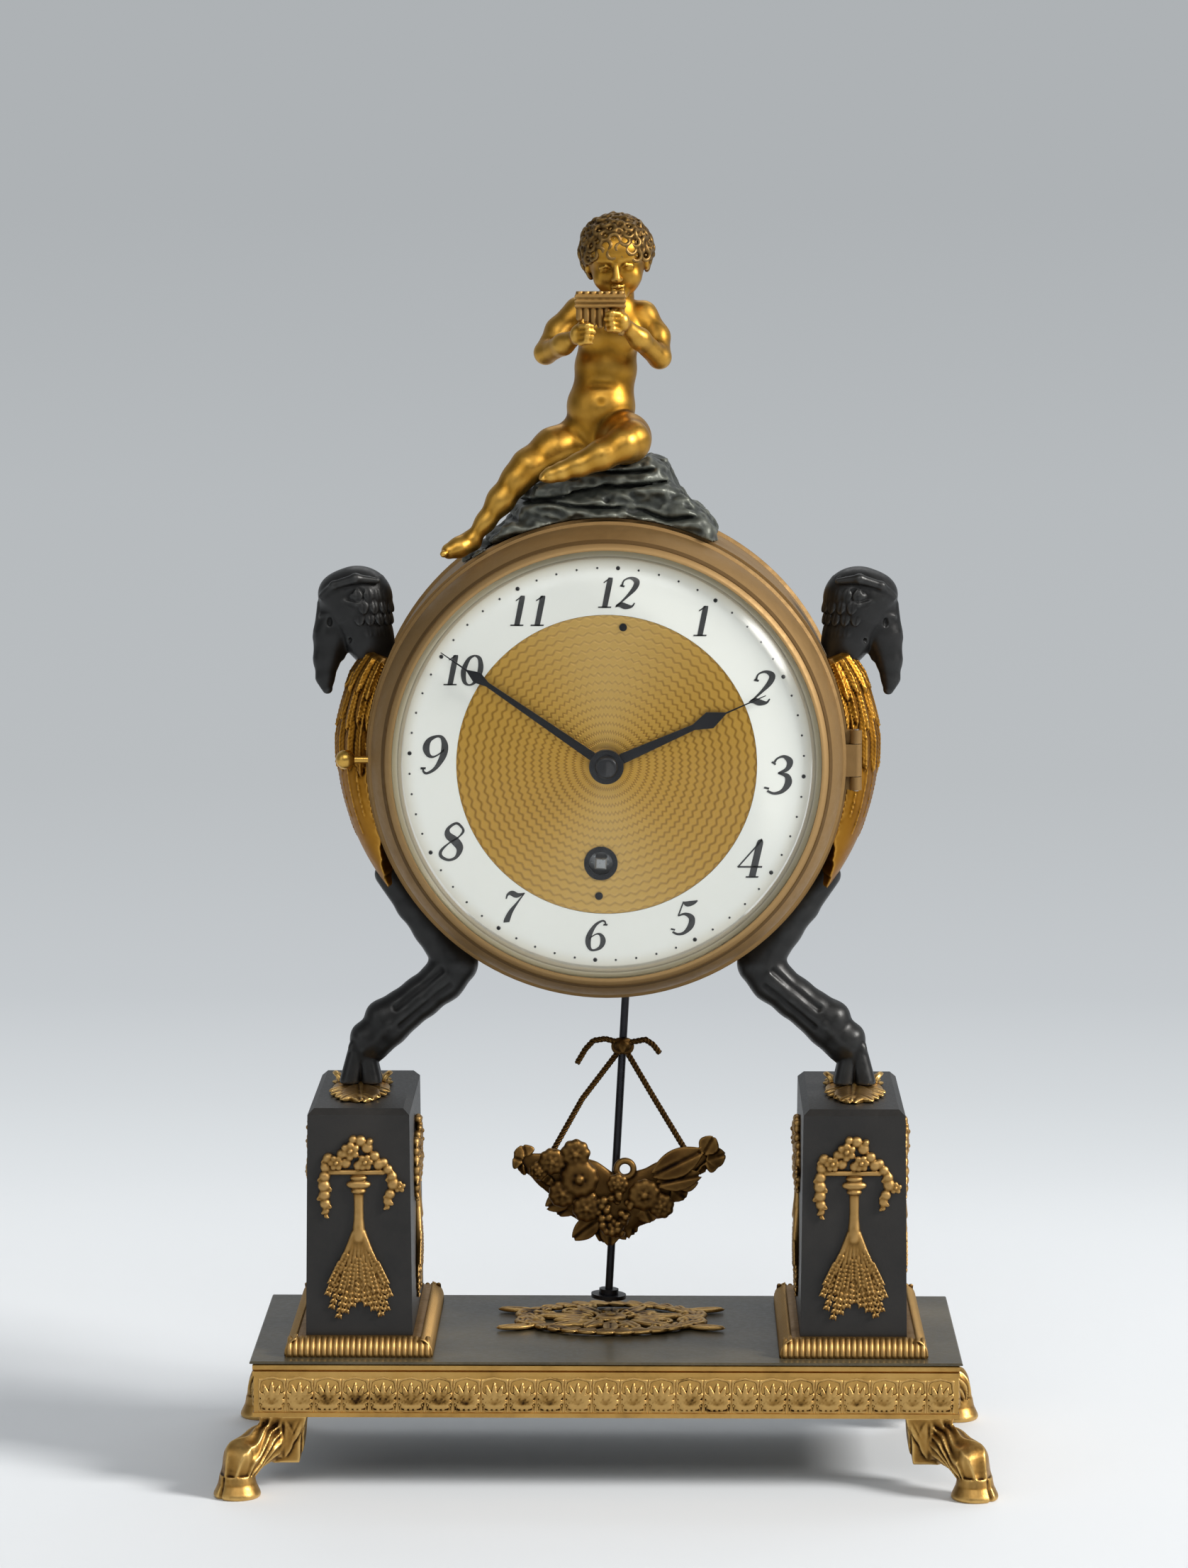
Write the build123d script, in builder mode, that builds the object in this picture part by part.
from build123d import *
import math
import os

os.makedirs("parts", exist_ok=True)

# Mantel clock held by two griffins on plinths, with a piping child on its drum. Millimetres.
# X runs to the right seen from the front, Y to the back and Z up.
# The origin is on the table, under the middle of the base.

# Base, from the table up
base_width = 212.0
base_depth = 94.0
frieze_bottom = 23.0
frieze_top = 36.8
moulding_top = 39.3
slab_top = 40.0
band_setback = 0.8
band_thickness = 1.2
frieze_border = 1.3
frieze_sunk = 0.4

# Goat feet, front right one; the others are its mirror images
post_x = 96.3
post_y = 37.3
post_bottom = 8.0
hoof_x = 109.6
hoof_y = 50.6
hoof_radius = 7.0
hoof_height = 6.6

# Plinths and their gilt mouldings
plinth_x = 73.9
plinth_foot = (32.0, 71.6)
plinth_head = (30.4, 70.0)
plinth_shoulder = 112.2
plinth_bevel = 1.9
plinth_bevel_height = 1.8
plinth_top = plinth_shoulder + plinth_bevel_height
plinth_moulding = (43.4, 82.0)
plinth_moulding_height = 5.6
mount_thickness = 1.4
mount_rise = 3.9
mount_middle = (slab_top + plinth_shoulder) / 2 + mount_rise

# Drum, bezel and dial
dial_height = 216.8
dial_turn = 3.3
drum_radius = 72.2
drum_top = dial_height + drum_radius
drum_wall = 2.0
drum_front = -15.5
drum_back = 36.0
seat_radius = 63.0
seat_wall = 2.0
bezel_back = -15.8
bezel_front = -32.2
bezel_radius = 71.4
sight_radius = 63.7
glass_thickness = 1.4
glass_rise = 10.0
dial_radius = 64.3
dial_front = -30.0
dial_back = -27.4
chapter_inner = 44.6
dial_foot_radius = 2.2

# Movement, all depths along Y
front_plate_front = -20.0
front_plate_back = -18.0
back_plate_front = 4.0
back_plate_back = 6.0
plate_clearance = 5.0
plate_radius = seat_radius - seat_wall - plate_clearance
pillar_inset = 6.0
pillar_circle = plate_radius - pillar_inset
minute_stud_end = -26.4
running_gap = 0.05
barrel_place = (0.0, -29.5)
third_place = (15.0, 17.96)
escape_place = (0.0, 28.79)
anchor_place = (0.0, 46.5)
minute_place = (12.0, 0.0)
click_place = (-11.6, -24.5)
barrel_teeth = 72
centre_pinion_leaves = 12
centre_teeth = 72
train_pinion_leaves = 6
third_teeth = 68
escape_teeth = 30
cannon_leaves = 12
minute_teeth = 36
minute_pinion_leaves = 10
hour_teeth = 40
escape_radius = 12.5

# Pendulum, hung behind the movement
pendulum_depth = 22.0
rod_radius = 1.2
rod_lean = 0.05515
rod_foot = (0.0, 43.6)
rod_bend_drop = 51.8
rod_bend_height = dial_height - rod_bend_drop
ornament_depth = 17.6

# Griffins
leg_thickness = 1.15
leg_foot_x = 75.0
leaf_height = 2.4
leaf_top = plinth_top + leaf_height
knee_drop = 62.4
knee_height = dial_height - knee_drop


def keep(piece, name):
    """Names one piece and writes its file."""
    piece.label = name
    export_step(piece, f"parts/{name}.step")


def keep_pair(piece, name):
    """Writes a right-hand piece and its left-hand mirror image."""
    keep(piece, f"{name}_right")
    keep(mirror(piece, about=Plane.YZ), f"{name}_left")


def limb(stations, side, flat=1.0, datum=0.0):
    """A rounded limb through stations of x, y, rise above a datum and radius; side is its breadth's way."""
    with BuildPart() as body:
        for index, (x, y, rise, radius) in enumerate(stations):
            before = Vector(*stations[max(index - 1, 0)][:3])
            after = Vector(*stations[min(index + 1, len(stations) - 1)][:3])
            along = (after - before).normalized()
            across = Vector(*side) - along * Vector(*side).dot(along)
            with BuildSketch(Plane(origin=(x, y, datum + rise), x_dir=across, z_dir=along)):
                Ellipse(radius * flat, radius)
        loft()
    return body.part


def dial_plane(depth):
    """The plane of the dial at a depth, facing the viewer and turned as the movement sits in the drum."""
    turn = math.radians(dial_turn)
    across = (math.cos(turn), 0, -math.sin(turn))
    return Plane(origin=(0, depth, dial_height), x_dir=across, z_dir=(0, -1, 0))


def spindle(place, radius, back, front, mode=Mode.ADD):
    """A round bar or hole square to the dial, between two depths."""
    with Locations(dial_plane(back)):
        with Locations((place[0], place[1], 0)):
            Cylinder(radius, back - front, align=(Align.CENTER, Align.CENTER, Align.MIN), mode=mode)


def toothed(place, teeth, root, tip, root_share, tip_share, aim, depth):
    """A toothed face: shares are tooth widths over the pitch, aim the angle of one tooth's middle."""
    pitch = 2 * math.pi / teeth
    corners = []
    for index in range(teeth):
        middle = math.radians(aim) + index * pitch
        for radius, offset in (
            (root, -root_share / 2),
            (tip, -tip_share / 2),
            (tip, tip_share / 2),
            (root, root_share / 2),
        ):
            angle = middle + offset * pitch
            corner = (place[0] + radius * math.cos(angle), place[1] + radius * math.sin(angle))
            corners.append(corner)
    with BuildSketch(dial_plane(depth)) as face:
        with BuildLine():
            Polyline(*corners, close=True)
        make_face()
    return face.sketch


def bearing(start, end):
    """The angle in degrees from one arbor to another."""
    return math.degrees(math.atan2(end[1] - start[1], end[0] - start[0]))


def wheel_face(place, teeth, module, aim, depth):
    """A clock wheel with slim pointed teeth."""
    radius = module * teeth / 2
    return toothed(place, teeth, radius - 1.35 * module, radius + 0.85 * module, 0.52, 0.14, aim, depth)


def pinion_face(place, leaves, module, aim, depth):
    """A pinion with thin leaves and deep gaps; the gap faces the wheel."""
    radius = module * leaves / 2
    start = aim + 180 / leaves
    return toothed(place, leaves, radius - 1.25 * module, radius + 0.55 * module, 0.34, 0.12, start, depth)


def ring_profile_plane():
    """Half plane above the drum's axis: X is depth, Y is radius."""
    return Plane(origin=(0, 0, dial_height), x_dir=(0, 1, 0), z_dir=(1, 0, 0))


def radial_plane(angle):
    """Half plane through the drum's axis, turned clockwise from the top by an angle."""
    turn = math.radians(angle)
    normal = (math.cos(turn), 0, -math.sin(turn))
    return Plane(origin=(0, 0, dial_height), x_dir=(0, 1, 0), z_dir=normal)


drum_axis = Axis((0, 0, dial_height), (0, 1, 0))


def drum_cutter():
    """The drum's outside drawn out to the front and back, to seat pieces against it."""
    with BuildPart() as body:
        with Locations(Plane(origin=(0, 0, dial_height), z_dir=(0, -1, 0))):
            Cylinder(drum_radius, base_depth)
    return body.part


# Base slab: a core that carries the gilt bands, under a thin dark top
core_half = base_width / 2 - band_setback - band_thickness
core_front = -(base_depth / 2 - band_setback - band_thickness)
core_back = base_depth / 2 - band_setback
core_depth = core_back - core_front
core_middle = (core_back + core_front) / 2

with BuildPart() as base_slab:
    with BuildSketch(Plane.XY.offset(frieze_bottom)):
        with Locations((0, core_middle)):
            Rectangle(2 * core_half, core_depth)
    extrude(amount=moulding_top - frieze_bottom)
    with BuildSketch(Plane.XY.offset(moulding_top)):
        Rectangle(base_width, base_depth)
    extrude(amount=slab_top - moulding_top)
    chamfer(base_slab.faces().sort_by(Axis.Z)[-1].edges(), length=0.3)
keep(base_slab.part, "base_slab")

band_half = core_half + band_thickness
band_front = core_front - band_thickness
band_depth = core_back - band_front
band_middle = (core_back + band_front) / 2

# Gilt moulding: a half-round strip round the front and both sides
with BuildPart() as top_moulding:
    with BuildSketch(Plane.XY.offset(frieze_top)):
        with Locations((0, band_middle)):
            Rectangle(2 * band_half, band_depth)
    extrude(amount=moulding_top - frieze_top)
    outer_edges = top_moulding.faces().sort_by(Axis.Z)[-1].edges()
    outer_edges = outer_edges + top_moulding.faces().sort_by(Axis.Z)[0].edges()
    chamfer(outer_edges.filter_by(lambda edge: edge.center().Y < core_back - 1), length=0.6)
    with BuildSketch(Plane.XY.offset(frieze_top)):
        with Locations((0, core_middle)):
            Rectangle(2 * core_half, core_depth)
    extrude(amount=moulding_top - frieze_top, mode=Mode.SUBTRACT)
keep(top_moulding.part, "top_moulding")

# Gilt frieze: a band with a sunk field between two plain borders
with BuildPart() as frieze_band:
    with BuildSketch(Plane.XY.offset(frieze_bottom)):
        with Locations((0, band_middle)):
            Rectangle(2 * band_half, band_depth)
        with Locations((0, core_middle)):
            Rectangle(2 * core_half, core_depth, mode=Mode.SUBTRACT)
    extrude(amount=frieze_top - frieze_bottom)
    with BuildSketch(Plane.XY.offset(frieze_bottom + frieze_border)):
        with Locations((0, band_middle)):
            Rectangle(2 * band_half, band_depth)
        with Locations((0, band_middle + frieze_sunk)):
            Rectangle(2 * (band_half - frieze_sunk), band_depth, mode=Mode.SUBTRACT)
    extrude(amount=frieze_top - frieze_bottom - 2 * frieze_border, mode=Mode.SUBTRACT)
keep(frieze_band.part, "frieze_band")

# Foot: a leafy post under the frieze, a bent goat's leg and a cloven hoof splayed to the corner
foot_side = (1, 1, 0)
foot_leg = limb(
    [
        (post_x + 2.0, -(post_y + 2.0), 14.6, 4.4),
        (post_x + 7.4, -(post_y + 7.4), 13.6, 5.0),
        (hoof_x - 0.8, -(hoof_y - 0.8), 10.2, 5.9),
        (hoof_x + 0.2, -(hoof_y + 0.2), 6.2, 4.9),
        (hoof_x, -hoof_y, 4.0, 4.6),
    ],
    foot_side,
)
with BuildPart() as foot:
    for height, breadth in ((post_bottom, 9.4), (17.0, 10.6), (frieze_bottom, 14.4)):
        with BuildSketch(Plane(origin=(post_x, -post_y, height))):
            RectangleRounded(breadth, breadth, 1.6)
    loft()
    add(foot_leg)
    for height, radius in ((0.0, hoof_radius), (2.2, hoof_radius - 0.5), (hoof_height, 5.4)):
        with BuildSketch(Plane(origin=(hoof_x, -hoof_y, height))):
            Circle(radius)
    loft()
    with Locations(Location((hoof_x + 5, -(hoof_y + 5), 0), (0, 0, -45))):
        Box(9, 1.2, 6.4, align=(Align.CENTER, Align.CENTER, Align.MIN), mode=Mode.SUBTRACT)
keep(foot.part, "foot_front_right")
keep(mirror(foot.part, about=Plane.YZ), "foot_front_left")
back_foot = mirror(foot.part, about=Plane.XZ)
keep(back_foot, "foot_back_right")
keep(mirror(back_foot, about=Plane.YZ), "foot_back_left")

# Oval wreath on the slab: a rounded ring with four scroll arms and a middle rosette
ornament_middle = (1.0, 9.0)
with BuildPart() as slab_ornament:
    with BuildSketch(Plane.XY.offset(slab_top)):
        with Locations(ornament_middle):
            Ellipse(29, 23)
            Ellipse(23.5, 17.5, mode=Mode.SUBTRACT)
            Circle(7)
            Rectangle(52, 3.2)
            Rectangle(3.2, 40)
            for turn in (1, -1):
                with Locations((turn * 33, 12), (turn * 33, -12)):
                    Ellipse(6.6, 3.4)
                with Locations((turn * 28, 11), (turn * 28, -11)):
                    Circle(3.4)
    extrude(amount=1.6)
    with BuildSketch(Plane.XY.offset(slab_top + 1.6)):
        with Locations(ornament_middle):
            Ellipse(27.8, 21.8)
            Ellipse(24.7, 18.7, mode=Mode.SUBTRACT)
            Circle(5.4)
    extrude(amount=0.9)
keep(slab_ornament.part, "slab_ornament")

# Plinth: a slightly tapered block with a bevelled head
with BuildPart() as plinth:
    with BuildSketch(Plane(origin=(plinth_x, 0, slab_top))):
        Rectangle(*plinth_foot)
    with BuildSketch(Plane(origin=(plinth_x, 0, plinth_shoulder))):
        Rectangle(*plinth_head)
    loft()
    with BuildSketch(Plane(origin=(plinth_x, 0, plinth_shoulder))):
        Rectangle(*plinth_head)
    with BuildSketch(Plane(origin=(plinth_x, 0, plinth_top))):
        Rectangle(plinth_head[0] - 2 * plinth_bevel, plinth_head[1] - 2 * plinth_bevel)
    loft()
keep_pair(plinth.part, "plinth")

# Gadrooned moulding: a quarter-round frame round the plinth's foot
with BuildPart() as foot_moulding:
    with BuildSketch(Plane(origin=(plinth_x, 0, slab_top))):
        Rectangle(*plinth_moulding)
    extrude(amount=plinth_moulding_height)
    fillet(foot_moulding.faces().sort_by(Axis.Z)[-1].edges(), radius=4.6)
    with BuildSketch(Plane(origin=(plinth_x, 0, slab_top))):
        Rectangle(*plinth_foot)
    extrude(amount=plinth_moulding_height, mode=Mode.SUBTRACT)
keep_pair(foot_moulding.part, "plinth_moulding")


def mount_relief(plane):
    """Flower basket on a plate with two hanging garlands, over a vase and a spreading sheaf."""
    with BuildPart() as relief:
        with BuildSketch(plane):
            with Locations((0, 15.0)):
                Rectangle(18.2, 1.8)
            with Locations((0, 20.6)):
                Ellipse(7.4, 5.6)
            with Locations((0, 11.6)):
                Trapezoid(9.0, 6.6, 108, rotation=180)
            with Locations((-8.2, 8.4), (8.2, 8.4)):
                Ellipse(2.0, 7.0)
            with Locations((0, 4.6)):
                Rectangle(2.0, 9.2)
            with BuildLine():
                Polyline(
                    (-1.2, 2.0),
                    (-3.0, -6.0),
                    (-6.4, -14.0),
                    (-9.8, -25.0),
                    (-6.0, -27.6),
                    (-3.0, -25.8),
                    (0, -29.3),
                    (3.0, -25.8),
                    (6.0, -27.6),
                    (9.8, -25.0),
                    (6.4, -14.0),
                    (3.0, -6.0),
                    (1.2, 2.0),
                    close=True,
                )
            make_face()
        extrude(amount=mount_thickness)
        with BuildSketch(plane.offset(mount_thickness)):
            with Locations((0, 20.6)):
                Ellipse(6.2, 4.6)
            with Locations((-8.2, 8.0), (8.2, 8.0)):
                Ellipse(1.3, 5.6)
        extrude(amount=0.8, taper=20)
    return relief.part


# The three mounts of a plinth, each laid on its sloping face
slope = math.atan2((plinth_foot[1] - plinth_head[1]) / 2, plinth_shoulder - slab_top)
middle_share = (mount_middle - slab_top) / (plinth_shoulder - slab_top)
face_out = plinth_foot[0] / 2 - middle_share * (plinth_foot[0] - plinth_head[0]) / 2
face_front = plinth_foot[1] / 2 - middle_share * (plinth_foot[1] - plinth_head[1]) / 2
front_face = Plane(
    origin=(plinth_x, -face_front, mount_middle),
    x_dir=(1, 0, 0),
    z_dir=(0, -math.cos(slope), math.sin(slope)),
)
outer_face = Plane(
    origin=(plinth_x + face_out, 0, mount_middle),
    x_dir=(0, 1, 0),
    z_dir=(math.cos(slope), 0, math.sin(slope)),
)
inner_face = Plane(
    origin=(plinth_x - face_out, 0, mount_middle),
    x_dir=(0, -1, 0),
    z_dir=(-math.cos(slope), 0, math.sin(slope)),
)
with BuildPart() as plinth_mounts:
    for face in (front_face, outer_face, inner_face):
        add(mount_relief(face))
keep_pair(plinth_mounts.part, "plinth_mounts")

# Long leaf under the griffin's hoof
with BuildPart() as hoof_leaf:
    for share, breadth, length in ((0.0, 9.2, 27.0), (0.46, 8.6, 24.0), (1.0, 6.4, 13.0)):
        with BuildSketch(Plane(origin=(leg_foot_x, 0, plinth_top + share * leaf_height))):
            Ellipse(breadth, length)
    loft()
keep_pair(hoof_leaf.part, "hoof_leaf")

# Griffin leg: a thigh along the drum, a sharp knee, a shank running out to the hock, and a hoof
leg_side = (0, 1, 0)
thigh = limb(
    [
        (65.4, 0, -39.2, 4.6),
        (60.2, 0, -47.2, 5.2),
        (54.4, 0, -54.2, 5.6),
        (49.4, 0, -59.4, 6.0),
        (45.6, 0, -65.0, 6.2),
    ],
    leg_side,
    leg_thickness,
    dial_height,
)
shank_length = knee_height - leaf_top
shank = limb(
    [
        (43.6, 0, knee_height, 4.6),
        (49.6, 0, leaf_top + 0.837 * shank_length, 5.9),
        (56.8, 0, leaf_top + 0.674 * shank_length, 5.4),
        (62.1, 0, leaf_top + 0.568 * shank_length, 5.5),
        (66.5, 0, leaf_top + 0.458 * shank_length, 5.8),
        (71.3, 0, leaf_top + 0.337 * shank_length, 5.6),
        (74.6, 0, leaf_top + 0.189 * shank_length, 4.9),
    ],
    leg_side,
    leg_thickness,
)
with BuildPart() as griffin_leg:
    add(thigh)
    add(shank)
    for share, radius in ((0.0, 5.6), (0.068, 5.3), (0.195, 4.9)):
        with BuildSketch(Plane(origin=(leg_foot_x, 0, leaf_top + share * shank_length))):
            Ellipse(radius, radius * leg_thickness)
    loft()
    with Locations((leg_foot_x, -7.0, leaf_top)):
        Box(1.1, 6.0, 4.6, align=(Align.CENTER, Align.CENTER, Align.MIN), mode=Mode.SUBTRACT)
    add(drum_cutter(), mode=Mode.SUBTRACT)
keep_pair(griffin_leg.part, "griffin_leg")

# Wing: long feathers laid side by side round the drum, with a shorter row over them
wing_start = 66.0
feather_width = 5.2
feather_ends = (115.0, 118.5, 120.5, 118.5, 115.0)
covert_ends = (88.0, 93.0, 93.0, 88.0)


def feather(depth, start, end, inner, outer):
    """One feather bent round the drum, with a rounded back."""
    with BuildPart() as blade:
        with BuildSketch(radial_plane(start)):
            with BuildLine():
                Polyline((depth, outer - 1.3), (depth, inner), (depth + feather_width, inner))
                Line((depth + feather_width, inner), (depth + feather_width, outer - 1.3))
                ThreePointArc(
                    (depth + feather_width, outer - 1.3),
                    (depth + feather_width / 2, outer),
                    (depth, outer - 1.3),
                )
            make_face()
        revolve(axis=drum_axis, revolution_arc=end - start)
    return blade.part


with BuildPart() as wing:
    for index, end in enumerate(feather_ends):
        add(feather((index - 2.5) * feather_width, wing_start, end, drum_radius, 80.4))
    for index, end in enumerate(covert_ends):
        add(feather((index - 2) * feather_width, wing_start + 1.5, end, 78.6, 82.0))
keep_pair(wing.part, "wing")

# Eagle head: a neck rising from the wing into a round head, and a heavy hooked beak
with BuildPart() as eagle_head:
    neck_and_skull = (
        (69.6, 29.8, 5.0, 5.6),
        (72.4, 35.6, 7.6, 7.0),
        (75.4, 42.6, 11.2, 9.2),
        (76.2, 49.8, 10.6, 8.8),
        (76.8, 54.6, 6.6, 5.6),
        (77.0, 56.8, 2.2, 2.0),
    )
    for x, rise, breadth, depth in neck_and_skull:
        with BuildSketch(Plane(origin=(x, 0, dial_height + rise))):
            Ellipse(breadth, depth)
    loft()
    add(
        limb(
            [
                (78.6, 0, 44.2, 6.8),
                (82.2, 0, 36.0, 6.2),
                (84.4, 0, 28.6, 4.2),
                (85.4, 0, 22.6, 2.3),
                (84.8, 0, 18.2, 0.7),
            ],
            leg_side,
            0.8,
            dial_height,
        )
    )
    with Locations(Plane(origin=(75.2, 0, dial_height + 47.4), z_dir=(0, -1, 0))):
        Cylinder(3.7, 20.6)
        Cylinder(2.2, 22.0)
    add(drum_cutter(), mode=Mode.SUBTRACT)
    add(wing.part, mode=Mode.SUBTRACT)
keep_pair(eagle_head.part, "eagle_head")

# Drum: a shell with a front flange, a seat for the dial, hinge knuckles and the pendulum's slot
knuckle_radius = 1.8
pin_radius = 0.9
bezel_hinge = (74.3, -16.2)
door_hinge = (75.3, 37.0)
flange_back = drum_front + 2.0
slot_middle = 5.8
slot_width = 25.0
slot_front = 16.0
slot_back = 29.0
with BuildPart() as drum_case:
    with BuildSketch(ring_profile_plane()):
        with BuildLine():
            Polyline(
                (drum_front, drum_radius),
                (33.4, drum_radius),
                (34.0, drum_radius + 1.0),
                (drum_back, drum_radius + 1.0),
                (drum_back, drum_radius - drum_wall),
                (flange_back, drum_radius - drum_wall),
                (flange_back, seat_radius - seat_wall),
                (dial_back, seat_radius - seat_wall),
                (dial_back, seat_radius),
                (drum_front, seat_radius),
                close=True,
            )
        make_face()
    revolve(axis=drum_axis)
    with Locations((slot_middle, (slot_front + slot_back) / 2, dial_height - drum_radius)):
        Box(slot_width, slot_back - slot_front, 30, mode=Mode.SUBTRACT)
    for x, depth in (bezel_hinge, door_hinge):
        for end in (1, -1):
            with Locations((x, depth, dial_height + end * 7.0)):
                Cylinder(knuckle_radius, 4.0)
    for end in (1, -1):
        with Locations((72.6, -14.6, dial_height + end * 7.0)):
            Box(3.0, 1.6, 4.0)
        with Locations((73.8, 35.2, dial_height + end * 7.0)):
            Box(2.6, 1.6, 4.0)
        for x, depth in (bezel_hinge, door_hinge):
            with Locations((x, depth, dial_height + end * 7.0)):
                Cylinder(pin_radius, 4.2, mode=Mode.SUBTRACT)
keep(drum_case.part, "drum_case")

# The two hinge pins
with BuildPart() as hinge_pins:
    for x, depth in (bezel_hinge, door_hinge):
        with Locations((x, depth, dial_height)):
            Cylinder(pin_radius, 18.6)
keep(hinge_pins.part, "hinge_pins")

# Bezel: a deep coned ring with a ridge at its back, bored out until bore and cone meet in front
bore_front = -31.6
with BuildPart() as bezel:
    with BuildSketch(ring_profile_plane()):
        with BuildLine():
            Polyline(
                (bezel_front, sight_radius),
                (bezel_back, sight_radius),
                (bezel_back, bezel_radius),
                (-18.4, bezel_radius),
                (-18.9, bezel_radius - 0.9),
            )
            ThreePointArc((-18.9, bezel_radius - 0.9), (-26.6, 68.9), (bezel_front, 65.3))
            Line((bezel_front, 65.3), (bezel_front, sight_radius))
        make_face()
        with BuildLine():
            Polyline(
                (bezel_front, sight_radius),
                (bezel_front, 66.4),
                (bore_front, 66.4),
                (bezel_back, 67.4),
                (bezel_back, sight_radius),
                close=True,
            )
        make_face(mode=Mode.SUBTRACT)
    revolve(axis=drum_axis)
    with Locations((bezel_hinge[0], bezel_hinge[1], dial_height)):
        Cylinder(knuckle_radius, 9.6)
    with Locations((72.4, -17.2, dial_height)):
        Box(4.0, 1.6, 9.6)
    with Locations((bezel_hinge[0], bezel_hinge[1], dial_height)):
        Cylinder(pin_radius + running_gap, 9.8, mode=Mode.SUBTRACT)
keep(bezel.part, "bezel")

# Domed glass: a flat rim inside the bezel and a crystal bulging in front of it
rim_front = -31.6
rim_back = -30.5
rim_radius = 66.0
dome_radius = sight_radius - 0.2


def dome_curve(radius, rise):
    """A flat crown over most of the dome, turning down to the rim in a tighter arc."""
    shoulder_radius = 0.88 * radius
    crown_radius = (shoulder_radius**2 + (rise / 2) ** 2) / rise
    half_angle = math.degrees(math.asin(shoulder_radius / crown_radius))
    crown = CenterArc((rim_front - rise + crown_radius, 0), crown_radius, 180, -half_angle)
    edge = TangentArc(crown @ 1, (rim_front, radius), tangent=crown % 1)
    return edge @ 1, crown @ 0


with BuildPart() as bezel_glass:
    with BuildSketch(ring_profile_plane()):
        with BuildLine():
            outer_rim, outer_crown = dome_curve(dome_radius, glass_rise + glass_thickness)
            inner_rim, inner_crown = dome_curve(dome_radius - glass_thickness, glass_rise)
            Line(outer_crown, inner_crown)
            Polyline(
                outer_rim,
                (rim_front, rim_radius),
                (rim_back, rim_radius),
                (rim_back, dome_radius - glass_thickness),
                inner_rim,
            )
        make_face()
    revolve(axis=drum_axis)
keep(bezel_glass.part, "bezel_glass")

# Pull knob on the bezel's left side: a ball on a short neck
knob_depth = -17.1
knob_radius = 2.95
knob_middle = -78.2
with BuildPart() as bezel_knob:
    with Locations(Plane(origin=(knob_middle, knob_depth, dial_height), z_dir=(1, 0, 0))):
        Sphere(knob_radius)
        Cylinder(1.1, -knob_middle - bezel_radius + 0.8, align=(Align.CENTER, Align.CENTER, Align.MIN))
    add(bezel.part, mode=Mode.SUBTRACT)
keep(bezel_knob.part, "bezel_knob")

# Back door: a shallow dished cover with a turn button, hinged on the drum's rim
with BuildPart() as back_door:
    with BuildSketch(ring_profile_plane()):
        with BuildLine():
            Polyline(
                (drum_back + 0.2, 0),
                (drum_back + 0.2, drum_radius + 0.8),
                (drum_back + 1.8, drum_radius + 0.8),
                (drum_back + 2.4, drum_radius - 3.0),
                (drum_back + 2.4, drum_radius - 6.0),
                (drum_back + 1.6, drum_radius - 9.0),
                (drum_back + 1.6, 0),
                close=True,
            )
        make_face()
    revolve(axis=drum_axis)
    with Locations((door_hinge[0], door_hinge[1], dial_height)):
        Cylinder(knuckle_radius, 9.6)
    with Locations((73.6, 37.2, dial_height)):
        Box(3.4, 1.6, 9.6)
    with Locations((door_hinge[0], door_hinge[1], dial_height)):
        Cylinder(pin_radius + running_gap, 9.8, mode=Mode.SUBTRACT)
    with Locations(Plane(origin=(-62.0, drum_back + 1.6, dial_height), z_dir=(0, 1, 0))):
        Cylinder(2.6, 5.0, align=(Align.CENTER, Align.CENTER, Align.MIN))
keep(back_door.part, "back_door")

# Dial plate: gilt, with a raised middle and four soldered feet that carry the movement
pin_places = ((2.5, 41.1), (0.0, -39.3))
foot_places = (pin_places[0], pin_places[1], (40.0, 4.0), (-40.0, -4.0))
ring_back = -28.9
centre_front = -29.8
pipe_hole = 3.7
collar_outer = 4.6
with BuildPart() as dial_plate:
    spindle((0, 0), dial_radius, dial_back, ring_back)
    spindle((0, 0), chapter_inner - 0.1, dial_back, centre_front)
    for place in foot_places:
        spindle(place, dial_foot_radius, front_plate_front, dial_back)
    spindle((0, 0), pipe_hole, front_plate_front, dial_front, Mode.SUBTRACT)
    spindle(barrel_place, collar_outer, front_plate_front, dial_front, Mode.SUBTRACT)
    for place in pin_places:
        spindle(place, 0.9, front_plate_front - 2.0, dial_front, Mode.SUBTRACT)
keep(dial_plate.part, "dial_plate")

# White enamel chapter ring with an eased outer edge
with BuildPart() as dial_ring:
    spindle((0, 0), dial_radius, ring_back, dial_front)
    fillet(dial_ring.faces().sort_by(Axis.Y)[0].edges(), radius=0.7)
    spindle((0, 0), chapter_inner, ring_back, dial_front, Mode.SUBTRACT)
keep(dial_ring.part, "dial_ring")

# Two dial screws with round heads
with BuildPart() as dial_pins:
    for place in pin_places:
        spindle(place, 0.9, front_plate_front - 2.0, centre_front)
        spindle(place, 1.15, centre_front, centre_front - 0.7)
keep(dial_pins.part, "dial_pins")

# Collar that lines the winding hole
collar_bore = 3.5
with BuildPart() as winding_collar:
    spindle(barrel_place, collar_outer, dial_back, centre_front)
    spindle(barrel_place, 5.0, centre_front, centre_front - 0.7)
    spindle(barrel_place, collar_bore, dial_back, centre_front - 0.7, Mode.SUBTRACT)
keep(winding_collar.part, "winding_collar")

# Arbor sizes shared by the plates and the wheels
barrel_pivot = 1.6
barrel_bar = 2.5
centre_pivot = 1.1
centre_bar = 1.5
train_pivot = 0.6
train_bar = 1.0
anchor_bar = 1.2
stud_radius = 1.2
click_stud = 1.0

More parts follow.
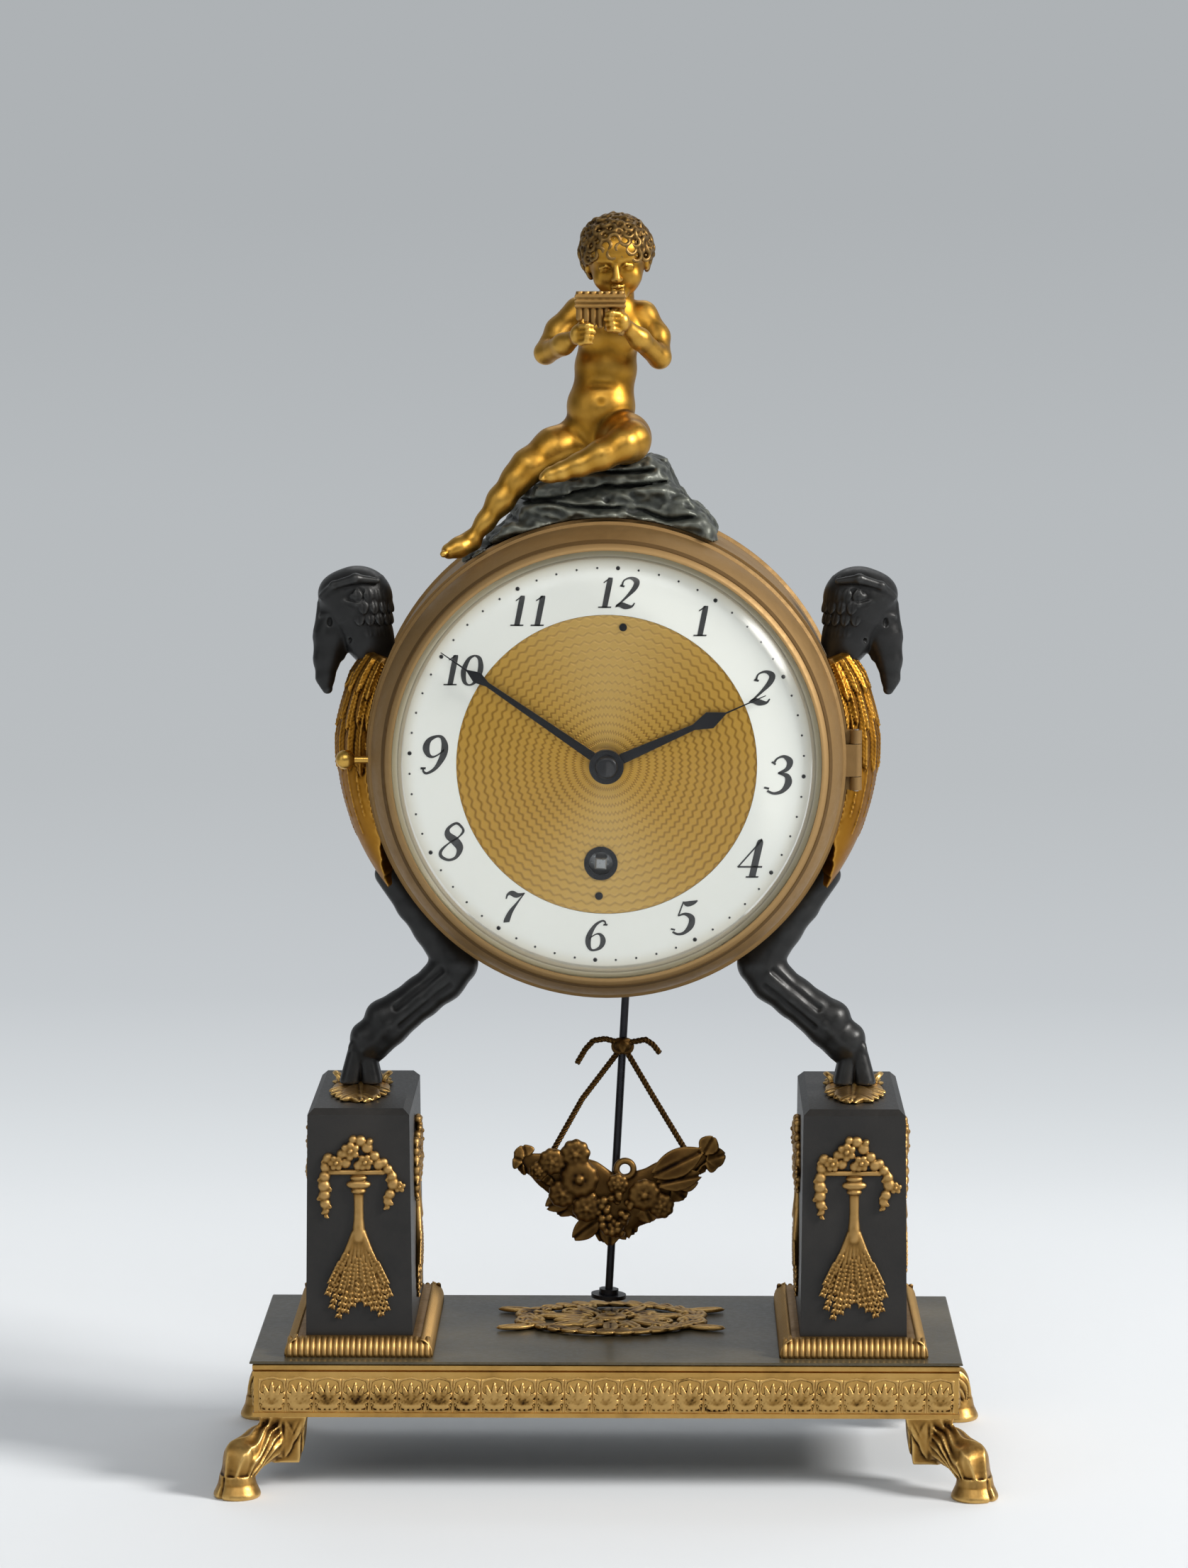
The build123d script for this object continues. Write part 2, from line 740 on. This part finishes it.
# Front plate, with the studs of the minute wheel and the click
with BuildPart() as front_plate:
    spindle((0, 0), plate_radius, front_plate_back, front_plate_front)
    spindle(minute_place, stud_radius, front_plate_front, minute_stud_end)
    spindle(click_place, click_stud, front_plate_front, -22.8)
    for place, radius in (
        ((0, 0), centre_bar),
        (barrel_place, barrel_bar),
        (third_place, train_pivot),
        (escape_place, train_pivot),
        (anchor_place, train_pivot),
    ):
        spindle(place, radius + running_gap, front_plate_back, front_plate_front, Mode.SUBTRACT)
keep(front_plate.part, "front_plate")

# Back plate; the anchor's arbor passes through it to the crutch
with BuildPart() as back_plate:
    spindle((0, 0), plate_radius, back_plate_back, back_plate_front)
    for place, radius in (
        ((0, 0), centre_pivot),
        (barrel_place, barrel_pivot),
        (third_place, train_pivot),
        (escape_place, train_pivot),
        (anchor_place, anchor_bar + 0.3),
    ):
        spindle(place, radius + running_gap, back_plate_back, back_plate_front, Mode.SUBTRACT)
keep(back_plate.part, "back_plate")

# Four pillars between the plates
with BuildPart() as plate_pillars:
    for quarter in range(4):
        angle = math.radians(45 + 90 * quarter)
        place = (pillar_circle * math.cos(angle), pillar_circle * math.sin(angle))
        spindle(place, 3.0, back_plate_front, front_plate_back)
keep(plate_pillars.part, "plate_pillars")

# Pendulum cock: a foot on the back plate, an upright with the anchor's rear pivot, and a stud
cock_front = 12.0
cock_back = 15.0
hanging_stud = 1.5
eye_front = 20.4
eye_back = 23.6
with BuildPart() as pendulum_cock:
    with BuildSketch(dial_plane(cock_back)):
        with Locations((0, 48.0)):
            Rectangle(11.0, 14.0)
    extrude(amount=cock_back - cock_front)
    with BuildSketch(dial_plane(cock_front)):
        with Locations((0, 53.0)):
            Rectangle(11.0, 4.0)
    extrude(amount=cock_front - back_plate_back)
    spindle(anchor_place, hanging_stud, eye_back + 0.3, cock_back)
    spindle(anchor_place, 2.6, eye_back + 1.3, eye_back + 0.3)
    spindle(anchor_place, train_pivot + running_gap, cock_back - 0.6, cock_front, Mode.SUBTRACT)
keep(pendulum_cock.part, "pendulum_cock")

# Going train. Modules follow from the distances between the arbors.
barrel_module = 2 * 29.5 / (barrel_teeth + centre_pinion_leaves)
centre_module = 2 * math.hypot(*third_place) / (centre_teeth + train_pinion_leaves)
third_reach = math.hypot(third_place[0] - escape_place[0], third_place[1] - escape_place[1])
third_module = 2 * third_reach / (third_teeth + train_pinion_leaves)
cannon_module = 2 * minute_place[0] / (cannon_leaves + minute_teeth)
hour_module = 2 * minute_place[0] / (minute_pinion_leaves + hour_teeth)

# Barrel: a toothed drum, open at the back for its cover
barrel_front = -15.2
barrel_back = -1.2
barrel_radius = barrel_module * barrel_teeth / 2 - 1.35 * barrel_module
with BuildPart() as barrel:
    aim = bearing(barrel_place, (0, 0))
    extrude(wheel_face(barrel_place, barrel_teeth, barrel_module, aim, barrel_front + 2.2), amount=2.2)
    spindle(barrel_place, barrel_radius, barrel_back, barrel_front)
    spindle(barrel_place, barrel_radius - 1.4, barrel_back, barrel_front + 1.4, Mode.SUBTRACT)
    spindle(barrel_place, barrel_bar + running_gap, barrel_back, barrel_front, Mode.SUBTRACT)
keep(barrel.part, "barrel")

# Barrel cover, pressed into the open end
with BuildPart() as barrel_cover:
    spindle(barrel_place, barrel_radius - 1.4, barrel_back, barrel_back - 1.2)
    spindle(barrel_place, barrel_bar + running_gap, barrel_back, barrel_back - 1.2, Mode.SUBTRACT)
keep(barrel_cover.part, "barrel_cover")

# Mainspring: a flat ribbon wound in half turns, each a little wider than the last
spring_inner = 5.0
spring_outer = barrel_radius - 2.4
spring_turns = 6
half_turns = 2 * spring_turns
spring_step = (spring_outer - spring_inner) / half_turns
spring_ribbon = 0.7


def spiral_arcs(first_radius):
    """Half circles that grow outwards, as point triples for arcs round the barrel's arbor."""
    arcs = []
    start = first_radius
    for index in range(half_turns):
        sign = 1 if index % 2 == 0 else -1
        end = start + spring_step
        middle = sign * (start - end) / 2
        radius = (start + end) / 2
        arcs.append(((sign * start, 0), (middle, sign * radius), (-sign * end, 0)))
        start = end
    return arcs


with BuildPart() as mainspring:
    spring_plane = dial_plane(barrel_back - 1.4).shift_origin(
        dial_plane(barrel_back - 1.4).from_local_coords((barrel_place[0], barrel_place[1], 0))
    )
    with BuildSketch(spring_plane):
        with BuildLine():
            inner_arcs = spiral_arcs(spring_inner)
            outer_arcs = spiral_arcs(spring_inner + spring_ribbon)
            for start, middle, end in inner_arcs + outer_arcs:
                ThreePointArc(start, middle, end)
            Line(inner_arcs[0][0], outer_arcs[0][0])
            Line(inner_arcs[-1][2], outer_arcs[-1][2])
        make_face()
    extrude(amount=barrel_back - 1.4 - (barrel_front + 1.6))
keep(mainspring.part, "mainspring")

# Winding arbor with the square end that the key turns
square_side = 3.4
square_end = -31.2
with BuildPart() as winding_arbor:
    spindle(barrel_place, barrel_pivot, back_plate_back, back_plate_front - 0.2)
    spindle(barrel_place, barrel_bar, back_plate_front - 0.2, -23.4)
    with BuildSketch(dial_plane(-23.4)):
        with Locations(barrel_place):
            Rectangle(square_side, square_side)
    extrude(amount=-23.4 - square_end)
    chamfer(winding_arbor.faces().sort_by(Axis.Y)[0].edges(), length=0.4)
keep(winding_arbor.part, "winding_arbor")

# Ratchet wheel in front of the plate, on the winding arbor
ratchet_teeth = 20
ratchet_tip = 6.6
ratchet_root = 5.6
works_back = -20.4
works_front = -22.0
with BuildPart() as ratchet_wheel:
    saw = []
    for index in range(ratchet_teeth):
        angle = 2 * math.pi * index / ratchet_teeth
        for radius, turn in ((ratchet_root, 0.0), (ratchet_tip, 0.02)):
            saw.append(
                (
                    barrel_place[0] + radius * math.cos(angle + turn),
                    barrel_place[1] + radius * math.sin(angle + turn),
                )
            )
    with BuildSketch(dial_plane(works_back)):
        with BuildLine():
            Polyline(*saw, close=True)
        make_face()
        with Locations(barrel_place):
            Circle(barrel_bar, mode=Mode.SUBTRACT)
    extrude(amount=works_back - works_front)
keep(ratchet_wheel.part, "ratchet_wheel")

# Click: a pawl on its stud, its nose held just off the ratchet's teeth as when it is being wound
click_reach = math.hypot(click_place[0] - barrel_place[0], click_place[1] - barrel_place[1])
click_aim = math.radians(bearing(click_place, barrel_place))
nose_length = click_reach - ratchet_tip - 0.25
with BuildPart() as click:
    nose = (
        click_place[0] + nose_length * math.cos(click_aim),
        click_place[1] + nose_length * math.sin(click_aim),
    )
    side_step = (-2.2 * math.sin(click_aim), 2.2 * math.cos(click_aim))
    with BuildSketch(dial_plane(works_back)):
        with Locations(click_place):
            Circle(2.4)
        with BuildLine():
            Polyline(
                (click_place[0] + side_step[0], click_place[1] + side_step[1]),
                nose,
                (click_place[0] - side_step[0], click_place[1] - side_step[1]),
                close=True,
            )
        make_face()
        with Locations(click_place):
            Circle(click_stud + running_gap, mode=Mode.SUBTRACT)
    extrude(amount=works_back - works_front)
keep(click.part, "click")

# Centre arbor: pinion driven by the barrel, wheel driving the third arbor, and a long front end
centre_end = -37.6
with BuildPart() as centre_wheel:
    spindle((0, 0), centre_pivot, back_plate_back, back_plate_front - 0.2)
    spindle((0, 0), centre_bar, back_plate_front - 0.2, centre_end)
    aim = bearing((0, 0), barrel_place)
    extrude(pinion_face((0, 0), centre_pinion_leaves, barrel_module, aim, -11.0), amount=5.4)
    aim = bearing((0, 0), third_place)
    extrude(wheel_face((0, 0), centre_teeth, centre_module, aim, 2.0), amount=1.4)
    for spoke in range(4):
        angle = math.radians(45 + 90 * spoke)
        spindle((11.5 * math.cos(angle), 11.5 * math.sin(angle)), 5.4, 2.0, 0.6, Mode.SUBTRACT)
keep(centre_wheel.part, "centre_wheel")

# Third arbor
with BuildPart() as third_wheel:
    spindle(third_place, train_pivot, back_plate_back - 0.2, back_plate_front - 0.2)
    spindle(third_place, train_bar, back_plate_front - 0.2, front_plate_back + 0.2)
    spindle(third_place, train_pivot, front_plate_back + 0.2, front_plate_front + 0.2)
    aim = bearing(third_place, (0, 0))
    extrude(pinion_face(third_place, train_pinion_leaves, centre_module, aim, 3.0), amount=4.0)
    aim = bearing(third_place, escape_place)
    extrude(wheel_face(third_place, third_teeth, third_module, aim, -4.6), amount=1.3)
    for spoke in range(4):
        angle = math.radians(30 + 90 * spoke)
        place = (third_place[0] + 9.0 * math.cos(angle), third_place[1] + 9.0 * math.sin(angle))
        spindle(place, 4.2, -4.6, -5.9, Mode.SUBTRACT)
keep(third_wheel.part, "third_wheel")

# Escape wheel with thirty raked teeth
escape_root = escape_radius - 2.0
with BuildPart() as escape_wheel:
    spindle(escape_place, train_pivot, back_plate_back - 0.2, back_plate_front - 0.2)
    spindle(escape_place, train_bar, back_plate_front - 0.2, front_plate_back + 0.2)
    spindle(escape_place, train_pivot, front_plate_back + 0.2, front_plate_front + 0.2)
    aim = bearing(escape_place, third_place)
    extrude(pinion_face(escape_place, train_pinion_leaves, third_module, aim, -3.8), amount=2.9)
    rake = []
    for index in range(escape_teeth):
        angle = -2 * math.pi * index / escape_teeth
        for radius, turn in ((escape_root, 0.0), (escape_radius, 0.05), (escape_root, 0.09)):
            rake.append(
                (
                    escape_place[0] + radius * math.cos(angle - turn),
                    escape_place[1] + radius * math.sin(angle - turn),
                )
            )
    with BuildSketch(dial_plane(-10.8)):
        with BuildLine():
            Polyline(*rake, close=True)
        make_face()
    extrude(amount=1.2)
keep(escape_wheel.part, "escape_wheel")

# Anchor: two arms that straddle the escape wheel, on an arbor that runs back to the crutch
pallet_span = math.radians(45)
pallet_reach = escape_radius + 1.15
anchor_back = -10.6
with BuildPart() as anchor:
    spindle(anchor_place, train_pivot, cock_back - 0.8, cock_front - 0.2)
    spindle(anchor_place, anchor_bar, cock_front - 0.2, front_plate_back + 0.2)
    spindle(anchor_place, train_pivot, front_plate_back + 0.2, front_plate_front + 0.2)
    with BuildSketch(dial_plane(anchor_back)):
        with Locations(anchor_place):
            Circle(3.0)
        for hand in (1, -1):
            tip_x = hand * pallet_reach * math.sin(pallet_span)
            tip_y = escape_place[1] + pallet_reach * math.cos(pallet_span)
            with BuildLine():
                Polyline(
                    (0, anchor_place[1] - 1.6),
                    (tip_x, tip_y),
                    (tip_x + hand * 1.8, tip_y + 1.2),
                    (tip_x + hand * 1.6, tip_y + 4.4),
                    (0, anchor_place[1] + 2.2),
                    close=True,
                )
            make_face()
    extrude(amount=1.6)
keep(anchor.part, "anchor")


def dial_point(place, depth):
    """A point of the movement in the clock's own frame."""
    return dial_plane(depth).from_local_coords((place[0], place[1], 0))


pivot = dial_point(anchor_place, pendulum_depth)


def rod_line(height):
    """Where the straight lower part of the rod stands at a height."""
    return rod_foot[0] + rod_lean * (height - rod_foot[1])


# Crutch: an arm down from the anchor's arbor, with a fork that reaches back round the rod
crutch_front = 7.4
crutch_back = 9.4
fork_height = pivot.Z - 28.0
bend_x = rod_line(rod_bend_height)
fork_share = (pivot.Z - fork_height) / (pivot.Z - rod_bend_height)
fork_x = pivot.X + fork_share * (bend_x - pivot.X)
with BuildPart() as crutch:
    spindle(anchor_place, 3.0, crutch_back, crutch_front)
    with BuildSketch(Plane(origin=(0, crutch_back, 0), x_dir=(1, 0, 0), z_dir=(0, -1, 0))):
        with BuildLine():
            Polyline(
                (pivot.X - 1.5, pivot.Z),
                (fork_x - 3.2, fork_height),
                (fork_x - 3.2, fork_height - 3.0),
                (fork_x + 3.2, fork_height - 3.0),
                (fork_x + 3.2, fork_height),
                (pivot.X + 1.5, pivot.Z),
                close=True,
            )
        make_face()
    extrude(amount=crutch_back - crutch_front)
    for hand in (1, -1):
        with Locations((fork_x + hand * 2.4, (crutch_back + 25.0) / 2, fork_height - 1.5)):
            Box(1.6, 25.0 - crutch_back, 3.0)
    spindle(anchor_place, anchor_bar, crutch_back, crutch_front, Mode.SUBTRACT)
keep(crutch.part, "crutch")

# Motion work behind the dial: cannon pinion, minute wheel and hour wheel, twelve to one in all
cannon_radius = 2.2
pipe_radius = 3.1
minute_hand_back = -33.1
minute_hand_front = -33.7
hour_hand_back = -31.6
hour_hand_front = -32.2
with BuildPart() as cannon_pinion:
    spindle((0, 0), cannon_radius, works_back - 0.2, minute_hand_front)
    aim = bearing((0, 0), minute_place)
    extrude(pinion_face((0, 0), cannon_leaves, cannon_module, aim, works_back - 0.2), amount=2.4)
    spindle((0, 0), centre_bar, works_back, minute_hand_front, Mode.SUBTRACT)
keep(cannon_pinion.part, "cannon_pinion")

with BuildPart() as minute_wheel:
    aim = bearing(minute_place, (0, 0))
    extrude(wheel_face(minute_place, minute_teeth, cannon_module, aim, -21.0), amount=1.4)
    extrude(pinion_face(minute_place, minute_pinion_leaves, hour_module, aim, -22.4), amount=3.6)
    spindle(minute_place, stud_radius + running_gap, -21.0, -26.0, Mode.SUBTRACT)
keep(minute_wheel.part, "minute_wheel")

with BuildPart() as hour_wheel:
    aim = bearing((0, 0), minute_place)
    extrude(wheel_face((0, 0), hour_teeth, hour_module, aim, -24.2), amount=1.2)
    spindle((0, 0), pipe_radius, -24.2, hour_hand_front)
    spindle((0, 0), cannon_radius + running_gap, -24.2, hour_hand_front, Mode.SUBTRACT)
keep(hour_wheel.part, "hour_wheel")


def hand_blade(plane, boss, bore, length, lozenge, lozenge_size, width):
    """A slim hand: boss, tapering stem, small lozenge and hair-thin tip."""
    with BuildSketch(plane) as blade:
        Circle(boss)
        with BuildLine():
            Polyline(
                (-width / 2, 0),
                (-width / 4, lozenge - lozenge_size),
                (-lozenge_size / 2, lozenge),
                (-0.25, lozenge + lozenge_size),
                (-0.12, length),
                (0.12, length),
                (0.25, lozenge + lozenge_size),
                (lozenge_size / 2, lozenge),
                (width / 4, lozenge - lozenge_size),
                (width / 2, 0),
                close=True,
            )
        make_face()
        Circle(bore, mode=Mode.SUBTRACT)
    return blade.sketch


def hand_plane(depth, angle):
    """A hand's own plane: its Y runs along the hand, clockwise from straight up by an angle."""
    turn = math.radians(angle)
    across = (math.cos(turn), 0, -math.sin(turn))
    return Plane(origin=(0, depth, dial_height), x_dir=across, z_dir=(0, -1, 0))


# Hands as photographed
hour_angle = 66.1
minute_angle = 304.5
with BuildPart() as hour_hand:
    hour_plane = hand_plane(hour_hand_back, hour_angle)
    extrude(hand_blade(hour_plane, 4.6, pipe_radius, 51.5, 33.4, 5.2, 3.4), amount=0.6)
keep(hour_hand.part, "hour_hand")

with BuildPart() as minute_hand:
    minute_plane = hand_plane(minute_hand_back, minute_angle)
    extrude(hand_blade(minute_plane, 4.2, cannon_radius, 59.4, 46.4, 3.6, 2.8), amount=0.6)
keep(minute_hand.part, "minute_hand")

# Collet over the hands, a dark button on the centre arbor
with BuildPart() as hand_collet:
    spindle((0, 0), 5.1, minute_hand_front, -36.2)
    spindle((0, 0), 3.4, -36.2, -38.2)
    fillet(hand_collet.faces().sort_by(Axis.Y)[0].edges(), radius=1.2)
    spindle((0, 0), centre_bar, minute_hand_front, centre_end, Mode.SUBTRACT)
keep(hand_collet.part, "hand_collet")

# Pendulum rod: an eye on the cock's stud, set over inside the drum, then straight to the nut
with BuildPart() as pendulum_rod:
    with BuildLine() as rod_path:
        FilletPolyline(
            (pivot.X, pendulum_depth, pivot.Z - 2.8),
            (bend_x, pendulum_depth, rod_bend_height),
            (rod_foot[0], pendulum_depth, rod_foot[1]),
            radius=40,
        )
    with BuildSketch(Plane(origin=rod_path.line @ 0, z_dir=rod_path.line % 0)):
        Circle(rod_radius)
    sweep()
    spindle(anchor_place, 3.4, eye_back, eye_front)
    spindle(anchor_place, hanging_stud + running_gap, eye_back, eye_front, Mode.SUBTRACT)
keep(pendulum_rod.part, "pendulum_rod")

# Rating nut: two knurled steps on the rod's threaded foot
nut_bottom = 44.8
nut_axis = Vector(rod_lean, 0, 1).normalized()
with BuildPart() as rating_nut:
    with Locations(Plane(origin=(rod_line(nut_bottom), pendulum_depth, nut_bottom), z_dir=nut_axis)):
        Cylinder(5.4, 1.2, align=(Align.CENTER, Align.CENTER, Align.MIN))
        with Locations((0, 0, 1.2)):
            Cylinder(3.0, 1.6, align=(Align.CENTER, Align.CENTER, Align.MIN))
        Cylinder(rod_radius + running_gap, 8.0, mode=Mode.SUBTRACT)
keep(rating_nut.part, "rating_nut")

# Garland bob: a swag thick in the middle, with round flowers, pointed leaves and a hanging loop
swag_side = (0, 1, 0)
swag = (
    (-25.0, 88.4, 3.0),
    (-17.0, 85.4, 6.4),
    (-8.0, 80.6, 9.2),
    (1.6, 75.4, 10.6),
    (10.6, 78.0, 8.8),
    (18.6, 82.6, 6.6),
    (29.0, 89.0, 3.0),
)
flowers = (
    (-17.0, 87.4, 4.4),
    (-9.6, 88.0, 4.8),
    (-9.0, 81.0, 5.4),
    (2.4, 76.4, 6.0),
    (11.0, 78.8, 5.2),
    (17.6, 82.0, 4.4),
    (1.0, 69.0, 4.6),
)
leaf_tips = (
    (-29.4, 89.8),
    (-26.2, 93.4),
    (-19.8, 79.8),
    (-18.8, 73.8),
    (-11.2, 64.2),
    (-2.0, 62.6),
    (6.2, 63.6),
    (13.6, 69.2),
    (18.8, 71.8),
    (24.2, 76.8),
    (28.4, 82.4),
    (36.4, 90.8),
    (32.8, 96.2),
)
loop_place = (5.2, 86.0)


def garland_leaf(tip):
    """A flat pointed leaf that grows out of the nearest part of the swag to its tip."""
    root = min(swag, key=lambda spot: math.hypot(spot[0] - tip[0], spot[1] - tip[1]))
    along = Vector(tip[0] - root[0], 0, tip[1] - root[1])
    face = Plane(origin=(root[0], ornament_depth, root[1]), x_dir=along, z_dir=(0, -1, 0))
    with BuildPart() as blade:
        with BuildSketch(face):
            with BuildLine():
                Polyline(
                    (0, -1.6),
                    (0.55 * along.length, -2.4),
                    (along.length, 0),
                    (0.55 * along.length, 2.4),
                    (0, 1.6),
                    close=True,
                )
            make_face()
        extrude(amount=0.7, both=True)
    return blade.part


with BuildPart() as garland:
    add(limb([(x, ornament_depth, height, radius) for x, height, radius in swag], swag_side, 0.4))
    for x, height, radius in flowers:
        with Locations((x, ornament_depth - 2.0, height)):
            Sphere(radius)
    for tip in leaf_tips:
        add(garland_leaf(tip))
    with Locations(Plane(origin=(loop_place[0], ornament_depth, loop_place[1]), z_dir=(0, -1, 0))):
        Torus(2.6, 1.0)
        Cylinder(1.3, 20.0, mode=Mode.SUBTRACT)
    add(pendulum_rod.part, mode=Mode.SUBTRACT)
keep(garland.part, "garland")

# Rope bow on the rod and two ropes that carry the garland
rope_depth = 20.4
rope_end_depth = 18.0
knot_height = 124.0
knot_x = rod_line(knot_height)
rope_radius = 0.95
ropes = (
    ((knot_x - 1.0, rope_depth, 122.6), (-8.0, 19.4, 107.6), (-17.8, rope_end_depth, 90.2)),
    ((knot_x + 1.0, rope_depth, 122.6), (13.8, 19.4, 108.4), (24.6, rope_end_depth, 90.6)),
    ((knot_x - 1.0, rope_depth, 125.2), (-4.6, rope_depth, 126.4), (-9.6, rope_depth, 118.6)),
    ((knot_x + 1.0, rope_depth, 125.2), (11.4, rope_depth, 126.0), (15.8, rope_depth, 121.8)),
)
with BuildPart() as pendulum_ropes:
    for points in ropes:
        with BuildLine() as rope_path:
            Spline(*points)
        with BuildSketch(Plane(origin=rope_path.line @ 0, z_dir=rope_path.line % 0)):
            Circle(rope_radius)
        sweep()
    with Locations((knot_x, rope_depth, knot_height)):
        Sphere(3.0)
    add(pendulum_rod.part, mode=Mode.SUBTRACT)
    add(garland.part, mode=Mode.SUBTRACT)
keep(pendulum_ropes.part, "pendulum_ropes")

# Rock on top of the drum, falling away to the front and back
with BuildPart() as rock:
    with BuildSketch(Plane(origin=(0, 0, drum_top), x_dir=(1, 0, 0), z_dir=(0, -1, 0))):
        with BuildLine():
            Polyline(
                (-43.5, -27.0),
                (-43.0, -13.0),
                (-34.0, -3.0),
                (-24.0, 8.0),
                (-10.0, 11.5),
                (2.0, 15.6),
                (13.0, 17.2),
                (20.5, 10.2),
                (27.0, 2.0),
                (31.5, -5.0),
                (31.5, -27.0),
                close=True,
            )
        make_face()
    extrude(amount=21.0, both=True, taper=14)
    add(drum_cutter(), mode=Mode.SUBTRACT)
keep(rock.part, "rock")

# Panpipes: seven reeds bound by two bands
reed_top = drum_top + 67.4
pipes_depth = -22.4
with BuildPart() as panpipes:
    for index in range(7):
        length = 13.2 - 0.7 * index
        with Locations((4.2 - 2.05 * index, pipes_depth, reed_top)):
            Cylinder(1.1, length, align=(Align.CENTER, Align.CENTER, Align.MAX))
    for drop in (2.4, 5.2):
        with Locations((-1.95, pipes_depth, reed_top - drop)):
            Box(14.9, 2.6, 1.1)
keep(panpipes.part, "panpipes")

# Seated child: one leg stretched down to the left, the other bent with its shin across
child_side = (0, 1, 0)
torso = (
    (-3.6, 2.0, 17.0, 9.6, 9.0),
    (-3.0, 1.0, 25.0, 11.4, 9.8),
    (-1.6, -0.6, 35.0, 10.2, 9.4),
    (-0.4, 0.0, 46.0, 9.6, 8.2),
    (0.8, 0.6, 57.0, 9.8, 7.2),
    (1.6, 0.0, 63.4, 5.6, 5.0),
    (2.2, -1.6, 71.0, 4.4, 4.4),
)
with BuildPart() as putto:
    for x, y, rise, breadth, depth in torso:
        with BuildSketch(Plane(origin=(x, y, drum_top + rise))):
            Ellipse(breadth, depth)
    loft()
    with Locations((3.4, -4.2, drum_top + 78.6)):
        Sphere(10.4)
    with Locations((3.8, -2.0, drum_top + 80.4)):
        Sphere(11.0)
    for stations in (
        [
            (-6.0, 0.0, 61.5, 4.6),
            (-12.0, -1.6, 58.0, 5.0),
            (-17.0, -4.4, 52.0, 4.6),
            (-18.6, -9.0, 48.2, 4.2),
            (-14.4, -15.0, 50.8, 3.6),
            (-9.0, -20.0, 54.0, 2.9),
            (-5.6, -22.6, 56.4, 2.0),
        ],
        [
            (7.6, 0.0, 60.5, 4.6),
            (13.0, -1.6, 56.6, 5.0),
            (15.6, -4.6, 50.4, 4.6),
            (14.8, -9.6, 47.8, 4.2),
            (10.4, -15.6, 52.6, 3.6),
            (5.4, -20.0, 57.4, 2.9),
            (1.8, -22.6, 60.0, 2.0),
        ],
        [
            (-6.0, 0.0, 22.5, 8.0),
            (-16.0, -4.0, 20.0, 8.2),
            (-25.0, -8.0, 13.4, 7.2),
            (-32.0, -11.0, 5.0, 5.8),
            (-37.4, -12.4, -2.2, 4.0),
            (-42.0, -14.0, -7.2, 3.2),
            (-47.0, -16.4, -9.6, 2.2),
        ],
        [
            (1.0, -1.0, 22.0, 8.0),
            (5.6, -9.6, 23.6, 8.0),
            (6.4, -17.6, 23.4, 6.8),
            (0.4, -23.4, 20.0, 5.6),
            (-7.4, -24.8, 16.6, 4.2),
            (-13.6, -25.2, 14.6, 3.2),
            (-18.2, -25.6, 13.2, 2.0),
        ],
    ):
        add(limb(stations, child_side, datum=drum_top))
    add(rock.part, mode=Mode.SUBTRACT)
    add(panpipes.part, mode=Mode.SUBTRACT)
keep(putto.part, "putto")
